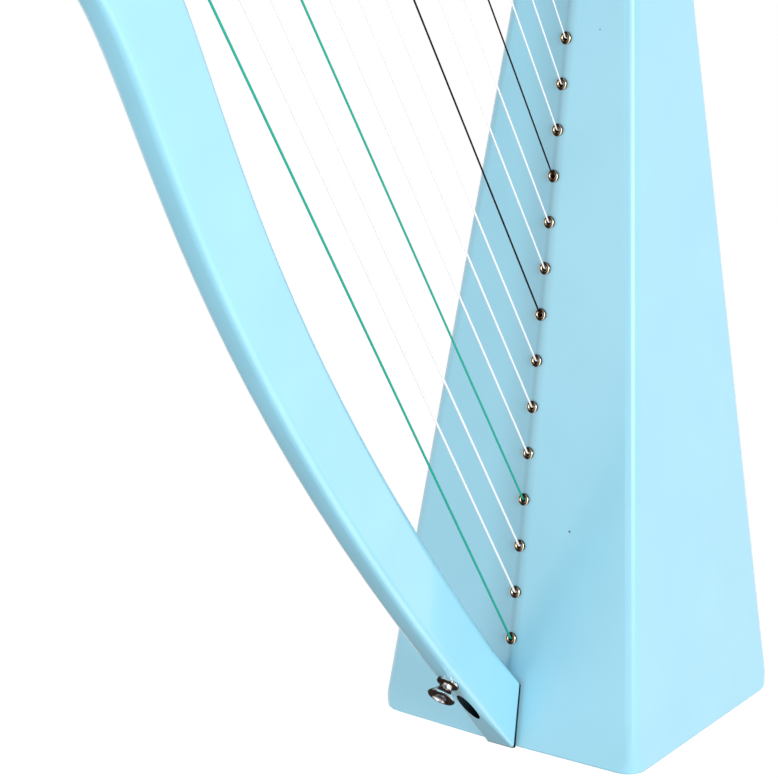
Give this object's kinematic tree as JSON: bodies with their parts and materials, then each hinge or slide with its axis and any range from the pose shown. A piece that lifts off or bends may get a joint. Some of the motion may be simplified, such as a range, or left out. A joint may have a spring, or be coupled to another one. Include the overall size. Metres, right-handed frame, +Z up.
{
  "type": "lyre harp",
  "caption": "Small lap harp: tapered soundbox, curved pillar and neck, nylon strings run from brass eyelets over bridge pins to turnable tuning pins.",
  "frame": {"origin": "centre of the soundbox's underside, on the surface it stands on, in the plane of the eyelets", "axes": "+Z up, +X from the pillar to the soundbox's back, where the player sits, Y across; the tuning pins' windings are on the -Y side"},
  "size_m": [0.4081, 0.1278, 0.4675],
  "materials": {
    "lacquer": "gloss",
    "pale_wood": "matte",
    "block_wood": "matte",
    "brass": "polished",
    "nylon_clear": "gloss",
    "nylon_green": "gloss",
    "nylon_red": "gloss",
    "chrome": "polished",
    "screw_steel": "satin",
    "pin_steel": "polished"
  },
  "bodies": {
    "harp": {"bottom_panel": "lacquer", "soundboard": "lacquer", "side_panel_left": "lacquer", "side_panel_right": "lacquer", "back_panel": "lacquer", "top_cap": "lacquer", "bottom_block": "block_wood", "top_block": "block_wood", "string_rib": "pale_wood", "board_linings": "pale_wood", "back_linings": "pale_wood", "back_braces": "pale_wood", "pillar": "lacquer", "pillar_screw": "screw_steel", "head_dowels": "pale_wood", "neck": "lacquer", "neck_screws": "screw_steel", "eyelets": "brass", "bridge_pins": "brass", "strings_clear": "nylon_clear", "strings_green": "nylon_green", "strings_red": "nylon_red", "strap_button_front": "chrome", "strap_button_rear": "chrome", "strap_screws": "screw_steel"},
    "pin_01": {"tuning_pin_01": "pin_steel", "winding_01": "nylon_green"},
    "pin_02": {"tuning_pin_02": "pin_steel", "winding_02": "nylon_clear"},
    "pin_03": {"tuning_pin_03": "pin_steel", "winding_03": "nylon_clear"},
    "pin_04": {"tuning_pin_04": "pin_steel", "winding_04": "nylon_green"},
    "pin_05": {"tuning_pin_05": "pin_steel", "winding_05": "nylon_clear"},
    "pin_06": {"tuning_pin_06": "pin_steel", "winding_06": "nylon_clear"},
    "pin_07": {"tuning_pin_07": "pin_steel", "winding_07": "nylon_clear"},
    "pin_08": {"tuning_pin_08": "pin_steel", "winding_08": "nylon_red"},
    "pin_09": {"tuning_pin_09": "pin_steel", "winding_09": "nylon_clear"},
    "pin_10": {"tuning_pin_10": "pin_steel", "winding_10": "nylon_clear"},
    "pin_11": {"tuning_pin_11": "pin_steel", "winding_11": "nylon_red"},
    "pin_12": {"tuning_pin_12": "pin_steel", "winding_12": "nylon_clear"},
    "pin_13": {"tuning_pin_13": "pin_steel", "winding_13": "nylon_clear"},
    "pin_14": {"tuning_pin_14": "pin_steel", "winding_14": "nylon_clear"},
    "pin_15": {"tuning_pin_15": "pin_steel", "winding_15": "nylon_green"}
  },
  "joints": [
    {"name": "pin_01_turn", "type": "hinge", "parent": "harp", "child": "pin_01", "pos_m": [-0.31838, 0, 0.41288], "axis": [0, 1, 0], "continuous": true},
    {"name": "pin_02_turn", "type": "hinge", "parent": "harp", "child": "pin_02", "pos_m": [-0.2983, 0, 0.40533], "axis": [0, 1, 0], "continuous": true},
    {"name": "pin_03_turn", "type": "hinge", "parent": "harp", "child": "pin_03", "pos_m": [-0.2794, 0, 0.39985], "axis": [0, 1, 0], "continuous": true},
    {"name": "pin_04_turn", "type": "hinge", "parent": "harp", "child": "pin_04", "pos_m": [-0.2616, 0, 0.39626], "axis": [0, 1, 0], "continuous": true},
    {"name": "pin_05_turn", "type": "hinge", "parent": "harp", "child": "pin_05", "pos_m": [-0.24483, 0, 0.3944], "axis": [0, 1, 0], "continuous": true},
    {"name": "pin_06_turn", "type": "hinge", "parent": "harp", "child": "pin_06", "pos_m": [-0.22904, 0, 0.39413], "axis": [0, 1, 0], "continuous": true},
    {"name": "pin_07_turn", "type": "hinge", "parent": "harp", "child": "pin_07", "pos_m": [-0.21416, 0, 0.39529], "axis": [0, 1, 0], "continuous": true},
    {"name": "pin_08_turn", "type": "hinge", "parent": "harp", "child": "pin_08", "pos_m": [-0.20014, 0, 0.39777], "axis": [0, 1, 0], "continuous": true},
    {"name": "pin_09_turn", "type": "hinge", "parent": "harp", "child": "pin_09", "pos_m": [-0.18692, 0, 0.40144], "axis": [0, 1, 0], "continuous": true},
    {"name": "pin_10_turn", "type": "hinge", "parent": "harp", "child": "pin_10", "pos_m": [-0.17445, 0, 0.40621], "axis": [0, 1, 0], "continuous": true},
    {"name": "pin_11_turn", "type": "hinge", "parent": "harp", "child": "pin_11", "pos_m": [-0.16269, 0, 0.41197], "axis": [0, 1, 0], "continuous": true},
    {"name": "pin_12_turn", "type": "hinge", "parent": "harp", "child": "pin_12", "pos_m": [-0.15159, 0, 0.41863], "axis": [0, 1, 0], "continuous": true},
    {"name": "pin_13_turn", "type": "hinge", "parent": "harp", "child": "pin_13", "pos_m": [-0.1411, 0, 0.4261], "axis": [0, 1, 0], "continuous": true},
    {"name": "pin_14_turn", "type": "hinge", "parent": "harp", "child": "pin_14", "pos_m": [-0.13119, 0, 0.43432], "axis": [0, 1, 0], "continuous": true},
    {"name": "pin_15_turn", "type": "hinge", "parent": "harp", "child": "pin_15", "pos_m": [-0.12181, 0, 0.44322], "axis": [0, 1, 0], "continuous": true}
  ]
}
